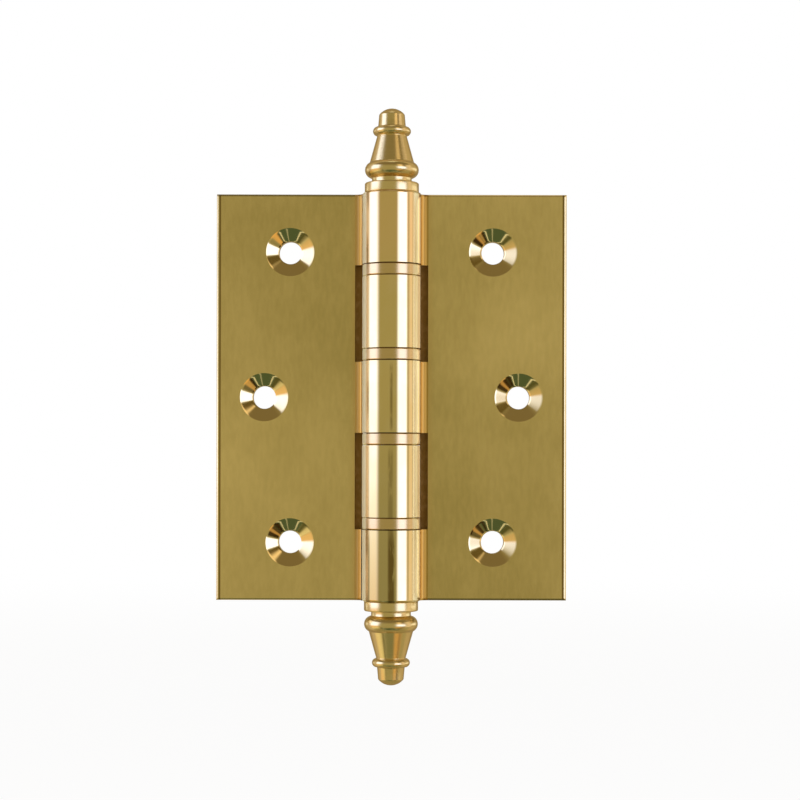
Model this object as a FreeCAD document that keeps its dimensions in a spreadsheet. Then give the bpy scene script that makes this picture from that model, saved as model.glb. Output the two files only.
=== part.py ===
import FreeCAD, Part
import math
import os
import Sketcher

# Solid brass butt hinge, opened flat: two leaves, five knuckles, four washers, a pin and two finials.
# The pin lies on Z, and the origin is half way up it. X runs across the leaves. The knuckles and the
# countersinks face -Y, and the flat mounting faces point to +Y, flush with the back of the barrel.

# Driving dimensions in millimetres and degrees
SIZES = {
    "leaf_height": 80.0,
    "leaf_reach": 34.5,
    "leaf_thickness": 3.5,
    "edge_round": 0.5,
    "barrel_radius": 5.75,
    "knuckle_chamfer": 0.15,
    "cove_radius": 1.5,
    "relief_depth": 1.6,
    "swing_gap": 0.4,
    "heel_inset": 0.15,
    "washer_thickness": 2.4,
    "washer_inset": 0.05,
    "washer_chamfer": 0.2,
    "washer_bore_gap": 0.1,
    "axial_gap": 0.05,
    "screw_hole_diameter": 4.5,
    "countersink_diameter": 9.5,
    "countersink_angle": 120.0,
    "end_screw_reach": 20.0,
    "middle_screw_reach": 25.1,
    "screw_rise": 28.6,
    "pin_radius": 3.0,
    "pin_chamfer": 0.4,
    "pin_end_gap": 0.2,
    "pin_drive_gap": 0.01,
    "pin_running_gap": 0.05,
    "spigot_radius": 2.0,
    "spigot_length": 7.0,
    "spigot_gap": 0.03,
    "socket_spare": 0.8,
    "collar_radius": 5.3,
    "collar_height": 1.9,
    "collar_round": 0.3,
    "neck_radius": 3.9,
    "neck_height": 0.93,
    "bead_radius": 5.27,
    "bead_roll": 1.6,
    "cone_base_radius": 4.35,
    "cone_height": 6.75,
    "ring_radius": 3.72,
    "ring_roll": 0.85,
    "knob_base_radius": 2.72,
    "knob_radius": 2.5,
    "knob_height": 2.42,
    "knob_crown": 1.2,
}

# Lengths that follow from the driving dimensions, as expressions on the sheet
LEAF_FACE = "(dims.barrel_radius - dims.leaf_thickness)"
COVE_START = (
    "sqrt((dims.barrel_radius + dims.cove_radius) ^ 2"
    " - (dims.cove_radius - dims.barrel_radius + dims.leaf_thickness) ^ 2)"
)
RELIEF_FLOOR = f"({LEAF_FACE} + dims.relief_depth)"
HEEL = "(dims.barrel_radius - dims.heel_inset)"
CUT_MARGIN = "(2 * dims.barrel_radius)"
WASHER_SEAT = "(dims.washer_thickness + 2 * dims.axial_gap)"
KNUCKLE = f"((dims.leaf_height - 4 * {WASHER_SEAT}) / 5)"
PITCH = f"({KNUCKLE} + {WASHER_SEAT})"
NOTCH = f"({KNUCKLE} + 2 * {WASHER_SEAT})"
SOCKET_DEPTH = "(dims.spigot_length + dims.socket_spare)"
BEAD_LEVEL = "(dims.collar_height + dims.neck_height + dims.bead_roll)"
RING_LEVEL = f"({BEAD_LEVEL} + dims.cone_height + dims.ring_roll)"
KNOB_LEVEL = f"({RING_LEVEL} + dims.ring_roll + dims.knob_height)"

# The points of a curve, and the sketch's own axes and origin, in the sketcher's numbering
START, END, CENTRE = range(1, 4)
HORIZONTAL_AXIS, VERTICAL_AXIS = range(-1, -3, -1)
ORIGIN = (HORIZONTAL_AXIS, START)

NEAR = 1e-6

doc = FreeCAD.newDocument("hinge")
sheet = doc.addObject("Spreadsheet::Sheet", "dims")
for row, (alias, value) in enumerate(SIZES.items(), start=1):
    sheet.set(f"A{row}", alias.replace("_", " "))
    sheet.set(f"B{row}", str(value))
    sheet.setAlias(f"B{row}", alias)
doc.recompute()


def origin_plane(body, role):
    """One of the body's own origin planes."""
    return next(item for item in body.Origin.OriginFeatures if item.Role == role)


class Outline:
    """A sketch on one of a body's origin planes, whose sizes are tied to the sheet."""

    def __init__(self, body, name, plane, lift=None):
        self.sketch = body.newObject("Sketcher::SketchObject", name)
        self.sketch.AttachmentSupport = (origin_plane(body, plane), [""])
        self.sketch.MapMode = "FlatFace"
        if lift:
            self.sketch.setExpression("AttachmentOffset.Base.z", lift)

    def line(self, start, end):
        """A straight edge between two points."""
        edge = Part.LineSegment(FreeCAD.Vector(*start, 0), FreeCAD.Vector(*end, 0))
        return self.sketch.addGeometry(edge, False)

    def arc(self, centre, radius, first, last):
        """A round edge that runs counterclockwise between two angles in radians."""
        whole = Part.Circle(FreeCAD.Vector(*centre, 0), FreeCAD.Vector(0, 0, 1), radius)
        return self.sketch.addGeometry(Part.ArcOfCircle(whole, first, last), False)

    def circle(self, centre, radius, guide=False):
        """A whole circle, or a guide that only holds other edges in place."""
        whole = Part.Circle(FreeCAD.Vector(*centre, 0), FreeCAD.Vector(0, 0, 1), radius)
        return self.sketch.addGeometry(whole, guide)

    def tie(self, kind, *ends):
        """A geometric rule between edges or their ends."""
        return self.sketch.addConstraint(Sketcher.Constraint(kind, *ends))

    def join(self, *links):
        """Close the outline: each link names two curve ends that meet."""
        for link in links:
            self.tie("Coincident", *link)

    def size(self, name, expression, kind, *ends):
        """A dimension that follows an expression on the sheet."""
        if kind == "Radius":
            value = self.sketch.Geometry[ends[0]].Radius
        else:
            span = self.sketch.getPoint(*ends[2:]) - self.sketch.getPoint(*ends[:2])
            value = span.x if kind == "DistanceX" else span.y
        number = self.sketch.addConstraint(Sketcher.Constraint(kind, *ends, value))
        self.sketch.renameConstraint(number, name)
        self.sketch.setExpression(f"Constraints.{name}", expression)

    def across(self, name, expression, *end):
        """How far to the right of the origin a point lies."""
        self.size(name, expression, "DistanceX", *ORIGIN, *end)

    def up(self, name, expression, *end):
        """How far above the origin a point lies."""
        self.size(name, expression, "DistanceY", *ORIGIN, *end)


def new_body(label):
    """An empty sub-part with the name of its file."""
    body = doc.addObject("PartDesign::Body", label)
    body.Label = label
    return body


def turn_half_round(body, axis):
    """Turn a sub-part by 180 degrees about an axis through the origin."""
    half_turn = FreeCAD.Rotation(FreeCAD.Vector(*axis), 180)
    body.Placement = FreeCAD.Placement(FreeCAD.Vector(), half_turn)


def extrude(body, name, outline, length, cut=False, both_ways=False):
    """Add or cut an outline along its normal; a one-sided cut runs the same way as a pad."""
    feature = body.newObject("PartDesign::Pocket" if cut else "PartDesign::Pad", name)
    feature.Profile = outline.sketch
    feature.setExpression("Length", length)
    feature.SideType = "Symmetric" if both_ways else "One side"
    feature.Reversed = cut and not both_ways
    return feature


def mirror_up_and_down(body, name, feature):
    """Repeat a feature at the other end of the barrel."""
    mirrored = body.newObject("PartDesign::Mirrored", name)
    mirrored.Originals = [feature]
    mirrored.MirrorPlane = (origin_plane(body, "XY_Plane"), [""])
    body.Tip = mirrored
    return mirrored


def revolve(body, name, outline):
    """Turn an outline about its vertical axis."""
    feature = body.newObject("PartDesign::Revolution", name)
    feature.Profile = outline.sketch
    feature.ReferenceAxis = (outline.sketch, ["V_Axis"])
    return feature


def ease_edges(body, name, kind, size, wanted):
    """Round or chamfer each edge of the finished shape that the test accepts."""
    doc.recompute()
    base = body.Tip
    edges = [f"Edge{i}" for i, edge in enumerate(base.Shape.Edges, start=1) if wanted(edge)]
    feature = body.newObject(f"PartDesign::{kind}", name)
    feature.Base = (base, edges)
    feature.setExpression("Radius" if kind == "Fillet" else "Size", size)
    return feature


def rim_at(radius, *levels):
    """Test for a round edge of this radius about Z, at one of these distances from the middle."""

    def found(edge):
        if edge.Degenerated or edge.Curve.TypeId != "Part::GeomCircle":
            return False
        height = abs(edge.Curve.Center.z)
        at_level = any(abs(height - level) < NEAR for level in levels)
        return at_level and abs(edge.Curve.Radius - radius) < NEAR

    return found


def ease_knuckle_ends(body, *levels):
    """Chamfer the round ends of a leaf's knuckles at these distances from the middle."""
    ends = rim_at(SIZES["barrel_radius"], *levels)
    ease_edges(body, "eased_knuckles", "Chamfer", "dims.knuckle_chamfer", ends)


def knuckle_levels():
    """Half the middle knuckle, and the height that a washer takes with its play."""
    seat = SIZES["washer_thickness"] + 2 * SIZES["axial_gap"]
    return (SIZES["leaf_height"] - 4 * seat) / 10, seat


def bore_knuckles(body, gap):
    """Ream the knuckles for the pin, larger than the pin by this gap."""
    ream = Outline(body, "ream", "XY_Plane")
    hole = ream.circle((0, 0), SIZES["pin_radius"])
    ream.join((hole, CENTRE, *ORIGIN))
    ream.size("ream_radius", f"dims.pin_radius + dims.{gap}", "Radius", hole)
    extrude(body, "pin_bore", ream, "2 * dims.leaf_height", cut=True, both_ways=True)


def drill_screw_holes(body):
    """Three countersunk holes from the leaf's face: one near each end, and one further out between."""
    face = Outline(body, "screw_places", "XZ_Plane", lift=f"-{LEAF_FACE}")
    end_reach, rise = SIZES["end_screw_reach"], SIZES["screw_rise"]
    radius = SIZES["screw_hole_diameter"] / 2
    upper = face.circle((end_reach, rise), radius)
    middle = face.circle((SIZES["middle_screw_reach"], 0), radius)
    lower = face.circle((end_reach, -rise), radius)
    for name, hole in (("upper", upper), ("middle", middle), ("lower", lower)):
        face.size(f"{name}_radius", "dims.screw_hole_diameter / 2", "Radius", hole)
    face.across("upper_reach", "dims.end_screw_reach", upper, CENTRE)
    face.across("middle_reach", "dims.middle_screw_reach", middle, CENTRE)
    face.across("lower_reach", "dims.end_screw_reach", lower, CENTRE)
    face.up("upper_rise", "dims.screw_rise", upper, CENTRE)
    face.tie("PointOnObject", middle, CENTRE, HORIZONTAL_AXIS)
    face.size("lower_drop", "dims.screw_rise", "DistanceY", lower, CENTRE, *ORIGIN)
    doc.recompute()
    holes = body.newObject("PartDesign::Hole", "screw_holes")
    holes.Profile = face.sketch
    holes.DepthType = "ThroughAll"
    holes.HoleCutType = "Countersink"
    holes.HoleCutCustomValues = True
    holes.setExpression("Diameter", "dims.screw_hole_diameter")
    holes.setExpression("HoleCutDiameter", "dims.countersink_diameter")
    holes.setExpression("HoleCutCountersinkAngle", "dims.countersink_angle")


def round_leaf_edges(body):
    """Ease the outer edges and the end edges of a leaf, on its face and on its back."""
    back = SIZES["barrel_radius"]
    face = back - SIZES["leaf_thickness"]

    def on_leaf_outline(edge):
        middle = edge.CenterOfMass
        straight = edge.Curve.TypeId == "Part::GeomLine"
        on_a_side = min(abs(middle.y - face), abs(middle.y - back)) < NEAR
        outer = abs(middle.x - SIZES["leaf_reach"]) < NEAR
        at_end = abs(abs(middle.z) - SIZES["leaf_height"] / 2) < NEAR
        return straight and on_a_side and (outer or at_end)

    ease_edges(body, "eased_edges", "Fillet", "dims.edge_round", on_leaf_outline)


def leaf_corner_points():
    """The level of the leaf's face and the centre of its cove, for the first drawing."""
    radius, cove = SIZES["barrel_radius"], SIZES["cove_radius"]
    face = radius - SIZES["leaf_thickness"]
    cove_centre = (math.sqrt((radius + cove) ** 2 - (cove - face) ** 2), face - cove)
    return face, cove_centre


def notch_outline(body, name, lift):
    """The room that one leaf leaves for the other's knuckle: a slot in front and a heel behind."""
    face, (slot, _) = leaf_corner_points()
    heel = SIZES["barrel_radius"] - SIZES["heel_inset"]
    floor = face + SIZES["relief_depth"]
    far = 2 * SIZES["barrel_radius"]
    outline = Outline(body, name, "XY_Plane", lift)
    corners = [(-far, -far), (slot, -far), (slot, floor), (heel, floor), (heel, far), (-far, far)]
    edges = [outline.line(a, b) for a, b in zip(corners, corners[1:] + corners[:1])]
    outline.join(*((a, END, b, START) for a, b in zip(edges, edges[1:] + edges[:1])))
    for level, upright in zip(edges[0::2], edges[1::2]):
        outline.tie("Horizontal", level)
        outline.tie("Vertical", upright)
    front, slot_wall, _, heel_wall, back, _ = edges
    outline.size("left_margin", CUT_MARGIN, "DistanceX", front, START, *ORIGIN)
    outline.size("front_margin", CUT_MARGIN, "DistanceY", front, START, *ORIGIN)
    outline.across("slot_wall", COVE_START, slot_wall, END)
    outline.up("slot_floor", RELIEF_FLOOR, slot_wall, END)
    outline.across("heel_wall", HEEL, heel_wall, END)
    outline.up("back_margin", CUT_MARGIN, back, START)
    return outline


def three_knuckle_leaf():
    """Right leaf: plate, cove and barrel in one section, notched for the other leaf's knuckles."""
    body = new_body("three_knuckle_leaf")
    reach, radius = SIZES["leaf_reach"], SIZES["barrel_radius"]
    face, cove_centre = leaf_corner_points()
    lean = math.atan2(cove_centre[1], cove_centre[0])
    section = Outline(body, "section", "XY_Plane")
    front = section.line((reach, face), (cove_centre[0], face))
    cove = section.arc(cove_centre, SIZES["cove_radius"], math.pi / 2, math.pi + lean)
    barrel = section.arc((0, 0), radius, math.pi / 2, 2 * math.pi + lean)
    back = section.line((0, radius), (reach, radius))
    outer = section.line((reach, radius), (reach, face))
    section.tie("Tangent", front, END, cove, START)
    section.tie("Tangent", cove, END, barrel, END)
    section.tie("Tangent", barrel, START, back, START)
    section.join((back, END, outer, START), (outer, END, front, START), (barrel, CENTRE, *ORIGIN))
    section.tie("Horizontal", front)
    section.tie("Horizontal", back)
    section.tie("Vertical", outer)
    section.size("barrel", "dims.barrel_radius", "Radius", barrel)
    section.size("cove", "dims.cove_radius", "Radius", cove)
    section.across("reach", "dims.leaf_reach", back, END)
    section.size("thickness", "dims.leaf_thickness", "DistanceY", outer, END, outer, START)
    extrude(body, "leaf_and_barrel", section, "dims.leaf_height", both_ways=True)
    round_leaf_edges(body)
    room = notch_outline(body, "upper_room", f"{KNUCKLE} / 2")
    notch = extrude(body, "upper_notch", room, NOTCH, cut=True)
    mirror_up_and_down(body, "both_notches", notch)
    half_knuckle, seat = knuckle_levels()
    ease_knuckle_ends(body, half_knuckle, 3 * half_knuckle + 2 * seat)
    bore_knuckles(body, "pin_drive_gap")
    drill_screw_holes(body)
    return body


def knuckle_outline(body):
    """A knuckle of the two-knuckle leaf, with the web that joins it to the back of the plate."""
    radius = SIZES["barrel_radius"]
    face, (slot, _) = leaf_corner_points()
    floor = face + SIZES["relief_depth"]
    floor_turn = math.asin(floor / radius)
    outline = Outline(body, "upper_round", "XY_Plane", f"{KNUCKLE} / 2 + {WASHER_SEAT}")
    barrel = outline.arc((0, 0), radius, math.pi / 2, 2 * math.pi + floor_turn)
    web = outline.line((radius * math.cos(floor_turn), floor), (slot, floor))
    root = outline.line((slot, floor), (slot, radius))
    back = outline.line((slot, radius), (0, radius))
    outline.join((barrel, CENTRE, *ORIGIN), (barrel, END, web, START))
    outline.join((web, END, root, START), (root, END, back, START))
    outline.tie("Tangent", back, END, barrel, START)
    outline.tie("Horizontal", web)
    outline.tie("Vertical", root)
    outline.tie("Horizontal", back)
    outline.size("barrel", "dims.barrel_radius", "Radius", barrel)
    outline.across("root", COVE_START, root, START)
    outline.up("floor", RELIEF_FLOOR, root, START)
    return outline


def two_knuckle_leaf():
    """Left leaf: plate and cove cut clear of the barrel, with two knuckles on webs along its back.

    It is drawn on the right and turned half round about Y, so its face still points to -Y.
    """
    body = new_body("two_knuckle_leaf")
    reach, radius, room = SIZES["leaf_reach"], SIZES["barrel_radius"], SIZES["swing_gap"]
    face, cove_centre = leaf_corner_points()
    cove_radius = SIZES["cove_radius"]
    heel = radius - SIZES["heel_inset"]
    clear = radius + room
    apart = math.hypot(*cove_centre)
    lean = math.atan2(cove_centre[1], cove_centre[0])
    tip = lean + math.acos((apart**2 + clear**2 - cove_radius**2) / (2 * apart * clear))
    cut_off = math.acos((apart**2 + cove_radius**2 - clear**2) / (2 * apart * cove_radius))
    heel_turn = math.acos(heel / clear)

    section = Outline(body, "section", "XY_Plane")
    front = section.line((reach, face), (cove_centre[0], face))
    cove = section.arc(cove_centre, cove_radius, math.pi / 2, math.pi + lean - cut_off)
    lip = section.arc((0, 0), clear, tip, heel_turn)
    heel_wall = section.line((heel, clear * math.sin(heel_turn)), (heel, radius))
    back = section.line((heel, radius), (reach, radius))
    outer = section.line((reach, radius), (reach, face))
    barrel = section.circle((0, 0), radius, guide=True)
    section.tie("Tangent", front, END, cove, START)
    section.tie("Tangent", cove, barrel)
    section.join(
        (cove, END, lip, START),
        (lip, END, heel_wall, START),
        (heel_wall, END, back, START),
        (back, END, outer, START),
        (outer, END, front, START),
        (lip, CENTRE, *ORIGIN),
        (barrel, CENTRE, *ORIGIN),
    )
    section.tie("Horizontal", front)
    section.tie("Horizontal", back)
    section.tie("Vertical", outer)
    section.tie("Vertical", heel_wall)
    section.size("barrel", "dims.barrel_radius", "Radius", barrel)
    section.size("cove", "dims.cove_radius", "Radius", cove)
    section.size("lip", "dims.barrel_radius + dims.swing_gap", "Radius", lip)
    section.across("heel", HEEL, heel_wall, END)
    section.up("back_level", "dims.barrel_radius", back, START)
    section.across("reach", "dims.leaf_reach", back, END)
    section.size("thickness", "dims.leaf_thickness", "DistanceY", outer, END, outer, START)
    extrude(body, "plate", section, "dims.leaf_height", both_ways=True)
    round_leaf_edges(body)
    relief = notch_outline(body, "upper_relief", f"{KNUCKLE} / 2")
    slot = extrude(body, "upper_slot", relief, NOTCH, cut=True)
    mirror_up_and_down(body, "both_slots", slot)
    knuckle = knuckle_outline(body)
    upper = extrude(body, "upper_knuckle", knuckle, KNUCKLE)
    mirror_up_and_down(body, "both_knuckles", upper)
    half_knuckle, seat = knuckle_levels()
    ease_knuckle_ends(body, half_knuckle + seat, 3 * half_knuckle + seat)
    bore_knuckles(body, "pin_running_gap")
    drill_screw_holes(body)
    turn_half_round(body, (0, 1, 0))
    return body


def hinge_pin():
    """A straight round pin, with a socket in each end for a finial's spigot."""
    body = new_body("hinge_pin")
    rod = Outline(body, "rod", "XY_Plane")
    rim = rod.circle((0, 0), SIZES["pin_radius"])
    rod.join((rim, CENTRE, *ORIGIN))
    rod.size("radius", "dims.pin_radius", "Radius", rim)
    extrude(body, "shank", rod, "dims.leaf_height - 2 * dims.pin_end_gap", both_ways=True)
    end = SIZES["leaf_height"] / 2 - SIZES["pin_end_gap"]
    ease_edges(body, "eased_ends", "Chamfer", "dims.pin_chamfer", rim_at(SIZES["pin_radius"], end))
    mouth = Outline(body, "mouth", "XY_Plane", f"dims.leaf_height / 2 - {SOCKET_DEPTH}")
    bore = mouth.circle((0, 0), SIZES["spigot_radius"])
    mouth.join((bore, CENTRE, *ORIGIN))
    mouth.size("bore", "dims.spigot_radius + dims.spigot_gap", "Radius", bore)
    socket = extrude(body, "upper_socket", mouth, SOCKET_DEPTH, cut=True)
    mirror_up_and_down(body, "both_sockets", socket)
    return body


def washer(number, steps_up):
    """A thrust washer with chamfered rims, this many knuckle pitches above the middle."""
    body = new_body(f"washer_{number}")
    ring = Outline(body, "ring", "XY_Plane")
    radius = SIZES["barrel_radius"] - SIZES["washer_inset"]
    rim = ring.circle((0, 0), radius)
    bore = ring.circle((0, 0), SIZES["pin_radius"] + SIZES["washer_bore_gap"])
    ring.join((rim, CENTRE, *ORIGIN), (bore, CENTRE, *ORIGIN))
    ring.size("rim", "dims.barrel_radius - dims.washer_inset", "Radius", rim)
    ring.size("bore", "dims.pin_radius + dims.washer_bore_gap", "Radius", bore)
    extrude(body, "blank", ring, "dims.washer_thickness", both_ways=True)
    half = SIZES["washer_thickness"] / 2
    ease_edges(body, "eased_rims", "Chamfer", "dims.washer_chamfer", rim_at(radius, half))
    body.setExpression("Placement.Base.z", f"{steps_up} * {PITCH}")
    return body


def finial_outline(body):
    """Half of the finial's turned section: spigot, collar, neck, bead, cone, ring and crowned knob."""
    spigot, deep = SIZES["spigot_radius"], SIZES["spigot_length"]
    collar, collar_top = SIZES["collar_radius"], SIZES["collar_height"]
    neck, roll = SIZES["neck_radius"], SIZES["bead_roll"]
    bead_x = SIZES["bead_radius"] - roll
    bead_z = collar_top + SIZES["neck_height"] + roll
    low_turn = -math.acos((neck - bead_x) / roll)
    high_turn = math.acos((SIZES["cone_base_radius"] - bead_x) / roll)
    ring_roll = SIZES["ring_roll"]
    ring_x = SIZES["ring_radius"] - ring_roll
    ring_z = bead_z + SIZES["cone_height"] + ring_roll
    knob_z = ring_z + ring_roll + SIZES["knob_height"]
    knob, crown = SIZES["knob_radius"], SIZES["knob_crown"]
    knob_base = (SIZES["knob_base_radius"], ring_z + ring_roll)
    ball = (knob**2 + crown**2) / (2 * crown)
    top = knob_z + crown
    neck_end = (neck, bead_z + roll * math.sin(low_turn))
    cone_base = (SIZES["cone_base_radius"], bead_z + roll * math.sin(high_turn))

    half = Outline(body, "turned_section", "XZ_Plane")
    tail = half.line((0, -deep), (spigot, -deep))
    shank = half.line((spigot, -deep), (spigot, 0))
    seat = half.line((spigot, 0), (collar, 0))
    rim = half.line((collar, 0), (collar, collar_top))
    shoulder = half.line((collar, collar_top), (neck, collar_top))
    throat = half.line((neck, collar_top), neck_end)
    bead = half.arc((bead_x, bead_z), roll, low_turn, high_turn)
    cone = half.line(cone_base, (ring_x, ring_z - ring_roll))
    ring = half.arc((ring_x, ring_z), ring_roll, -math.pi / 2, math.pi / 2)
    step = half.line((ring_x, ring_z + ring_roll), knob_base)
    side = half.line(knob_base, (knob, knob_z))
    dome = half.arc((0, top - ball), ball, math.asin((knob_z - top + ball) / ball), math.pi / 2)
    axis = half.line((0, top), (0, -deep))

    loop = [tail, shank, seat, rim, shoulder, throat, bead, cone, ring, step, side, dome, axis]
    half.join(*((a, END, b, START) for a, b in zip(loop, loop[1:] + loop[:1])))
    for level in (tail, seat, shoulder, step):
        half.tie("Horizontal", level)
    for upright in (shank, rim, throat, axis):
        half.tie("Vertical", upright)
    half.tie("PointOnObject", tail, START, VERTICAL_AXIS)
    half.tie("PointOnObject", shank, END, HORIZONTAL_AXIS)
    half.tie("PointOnObject", dome, CENTRE, VERTICAL_AXIS)
    half.tie("Vertical", ring, START, ring, CENTRE)
    half.tie("Vertical", ring, END, ring, CENTRE)
    half.size("spigot_length", "dims.spigot_length", "DistanceY", tail, START, *ORIGIN)
    half.across("spigot", "dims.spigot_radius", tail, END)
    half.across("collar", "dims.collar_radius", rim, END)
    half.up("collar_top", "dims.collar_height", rim, END)
    half.across("neck", "dims.neck_radius", throat, START)
    half.across("bead_across", "dims.bead_radius - dims.bead_roll", bead, CENTRE)
    half.up("bead_up", BEAD_LEVEL, bead, CENTRE)
    half.size("bead_roll", "dims.bead_roll", "Radius", bead)
    half.across("cone_base", "dims.cone_base_radius", cone, START)
    half.across("ring_across", "dims.ring_radius - dims.ring_roll", ring, CENTRE)
    half.up("ring_up", RING_LEVEL, ring, CENTRE)
    half.size("ring_roll", "dims.ring_roll", "Radius", ring)
    half.across("knob_base", "dims.knob_base_radius", side, START)
    half.across("knob", "dims.knob_radius", side, END)
    half.up("knob_up", KNOB_LEVEL, side, END)
    half.up("top", f"{KNOB_LEVEL} + dims.knob_crown", axis, START)
    return half


def finial(label, end):
    """A turned finial seated on one end of the barrel; end is 1 at the top and -1 at the bottom."""
    body = new_body(label)
    revolve(body, "turned", finial_outline(body))
    collar, collar_top = SIZES["collar_radius"], SIZES["collar_height"]
    ease_edges(body, "eased_collar", "Fillet", "dims.collar_round", rim_at(collar, collar_top))
    if end < 0:
        turn_half_round(body, (1, 0, 0))
    body.setExpression("Placement.Base.z", f"{end} * dims.leaf_height / 2")
    return body


sub_parts = [three_knuckle_leaf(), two_knuckle_leaf(), hinge_pin()]
for number, steps_up in enumerate((1.5, 0.5, -0.5, -1.5), start=1):
    sub_parts.append(washer(number, steps_up))
sub_parts += [finial("top_finial", 1), finial("bottom_finial", -1)]

doc.recompute()
for item in doc.Objects:
    if "Invalid" in item.State or "Error" in item.State:
        raise RuntimeError(f"{item.Label} failed: {item.State}")
for body in sub_parts:
    if body.Shape.isNull() or not body.Shape.isValid() or len(body.Shape.Solids) != 1:
        raise RuntimeError(f"{body.Label} is not one valid solid")

os.makedirs("parts", exist_ok=True)
for body in sub_parts:
    body.Shape.exportStep(f"parts/{body.Label}.step")
    box = body.Shape.BoundBox
    extent = f"{box.XLength:.2f} x {box.YLength:.2f} x {box.ZLength:.2f} mm"
    print(f"{body.Label}: {body.Shape.Volume:.1f} mm3, {extent}")
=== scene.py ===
import math
from typing import NamedTuple

import bpy
import numpy as np
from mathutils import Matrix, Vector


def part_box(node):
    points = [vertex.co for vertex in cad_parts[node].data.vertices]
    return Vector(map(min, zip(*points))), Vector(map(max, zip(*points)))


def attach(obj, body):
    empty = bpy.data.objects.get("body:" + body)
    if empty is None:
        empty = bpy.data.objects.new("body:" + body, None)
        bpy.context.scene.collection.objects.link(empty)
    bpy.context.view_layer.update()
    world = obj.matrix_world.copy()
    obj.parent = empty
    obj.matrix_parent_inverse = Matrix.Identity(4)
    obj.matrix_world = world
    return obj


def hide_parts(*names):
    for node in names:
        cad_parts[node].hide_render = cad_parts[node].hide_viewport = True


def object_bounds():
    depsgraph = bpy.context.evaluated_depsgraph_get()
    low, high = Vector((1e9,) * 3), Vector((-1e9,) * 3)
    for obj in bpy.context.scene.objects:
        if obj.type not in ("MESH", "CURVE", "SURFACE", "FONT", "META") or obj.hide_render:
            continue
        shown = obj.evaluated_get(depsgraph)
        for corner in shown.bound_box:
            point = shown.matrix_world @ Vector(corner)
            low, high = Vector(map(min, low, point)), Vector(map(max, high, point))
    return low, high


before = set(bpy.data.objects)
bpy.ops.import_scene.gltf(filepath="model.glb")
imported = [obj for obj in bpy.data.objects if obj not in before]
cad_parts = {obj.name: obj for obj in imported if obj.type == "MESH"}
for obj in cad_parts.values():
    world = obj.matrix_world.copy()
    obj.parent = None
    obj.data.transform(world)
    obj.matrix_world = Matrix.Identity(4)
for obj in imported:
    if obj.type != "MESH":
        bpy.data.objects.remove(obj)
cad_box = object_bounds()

MM = 0.001

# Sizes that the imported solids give
_, leaf_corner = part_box("three_knuckle_leaf")
LEAF_REACH = leaf_corner.x
HALF_HEIGHT = leaf_corner.z
LEAF_BACK = leaf_corner.y
BARREL_RADIUS = LEAF_BACK

# Sizes of the leaves and knuckles
LEAF_THICKNESS = 3.5 * MM
EDGE_ROUND = 0.5 * MM
COVE_RADIUS = 1.5 * MM
SLOT_DEPTH = 1.6 * MM
SWING_GAP = 0.4 * MM
HEEL_INSET = 0.15 * MM
DRIVEN_BORE = 3.01 * MM
RUNNING_BORE = 3.05 * MM
SOFT_EDGE = 0.12 * MM

# Screw holes
SCREW_RADIUS = 2.25 * MM
COUNTERSINK_RADIUS = 4.75 * MM
COUNTERSINK_ANGLE = 120
END_SCREW = (20.0 * MM, 28.6 * MM)
MIDDLE_SCREW = (25.1 * MM, 0.0)

# Washers
WASHERS = 4
WASHER_SEAT = 2.5 * MM
AXIAL_GAP = 0.05 * MM
WASHER_INSET = 0.05 * MM
WASHER_BORE = 3.1 * MM
WASHER_CHAMFER = 0.2 * MM

# Finials, measured up from the barrel's end
SPIGOT_RADIUS = 2.0 * MM
SPIGOT_LENGTH = 7.0 * MM
COLLAR_RADIUS = 5.3 * MM
COLLAR_HEIGHT = 1.9 * MM
COLLAR_ROUND = 0.3 * MM
NECK_RADIUS = 3.9 * MM
NECK_HEIGHT = 0.93 * MM
BEAD_RADIUS = 5.27 * MM
BEAD_ROLL = 1.6 * MM
CONE_BASE = 4.35 * MM
CONE_HEIGHT = 6.75 * MM
RING_RADIUS = 3.72 * MM
RING_ROLL = 0.85 * MM
KNOB_BASE = 2.72 * MM
KNOB_RADIUS = 2.5 * MM
KNOB_HEIGHT = 2.42 * MM
KNOB_CROWN = 1.2 * MM

# Places that follow from these sizes; a finial's centres are given as radius and level
LEAF_FACE = LEAF_BACK - LEAF_THICKNESS
COVE_RISE = LEAF_FACE - COVE_RADIUS
COVE_REACH = math.sqrt((BARREL_RADIUS + COVE_RADIUS) ** 2 - COVE_RISE**2)
COVE_LEAN = math.degrees(math.atan2(COVE_RISE, COVE_REACH))
SLOT_FLOOR = LEAF_FACE + SLOT_DEPTH
LIP_RADIUS = BARREL_RADIUS + SWING_GAP
HEEL_REACH = BARREL_RADIUS - HEEL_INSET
KNUCKLE = (2 * HALF_HEIGHT - WASHERS * WASHER_SEAT) / (WASHERS + 1)
PITCH = KNUCKLE + WASHER_SEAT
COUNTERSINK_SLOPE = math.tan(math.radians(COUNTERSINK_ANGLE / 2))
WASHER_RADIUS = BARREL_RADIUS - WASHER_INSET
WASHER_HALF = WASHER_SEAT / 2 - AXIAL_GAP
BEAD = (BEAD_RADIUS - BEAD_ROLL, COLLAR_HEIGHT + NECK_HEIGHT + BEAD_ROLL)
RING = (RING_RADIUS - RING_ROLL, BEAD[1] + CONE_HEIGHT + RING_ROLL)
KNOB_LEVEL = RING[1] + RING_ROLL + KNOB_HEIGHT

# How finely round shapes are divided, and how sharp edges are eased
BARREL_STEPS = 121
COVE_STEPS = 25
FILLET_STEPS = 7
BEAD_STEPS = 2 * FILLET_STEPS + COVE_STEPS
TURN_STEPS = 128
SOFT_EDGE_STEPS = 3
SHARP_ANGLE = 20
FLAT_FACE_WEIGHT = 60
DOME_END = 89

# Signs of a point's coordinates after half a turn about one axis
HALF_TURN_ABOUT_X = (1, -1, -1)
HALF_TURN_ABOUT_Y = (-1, 1, -1)

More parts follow.
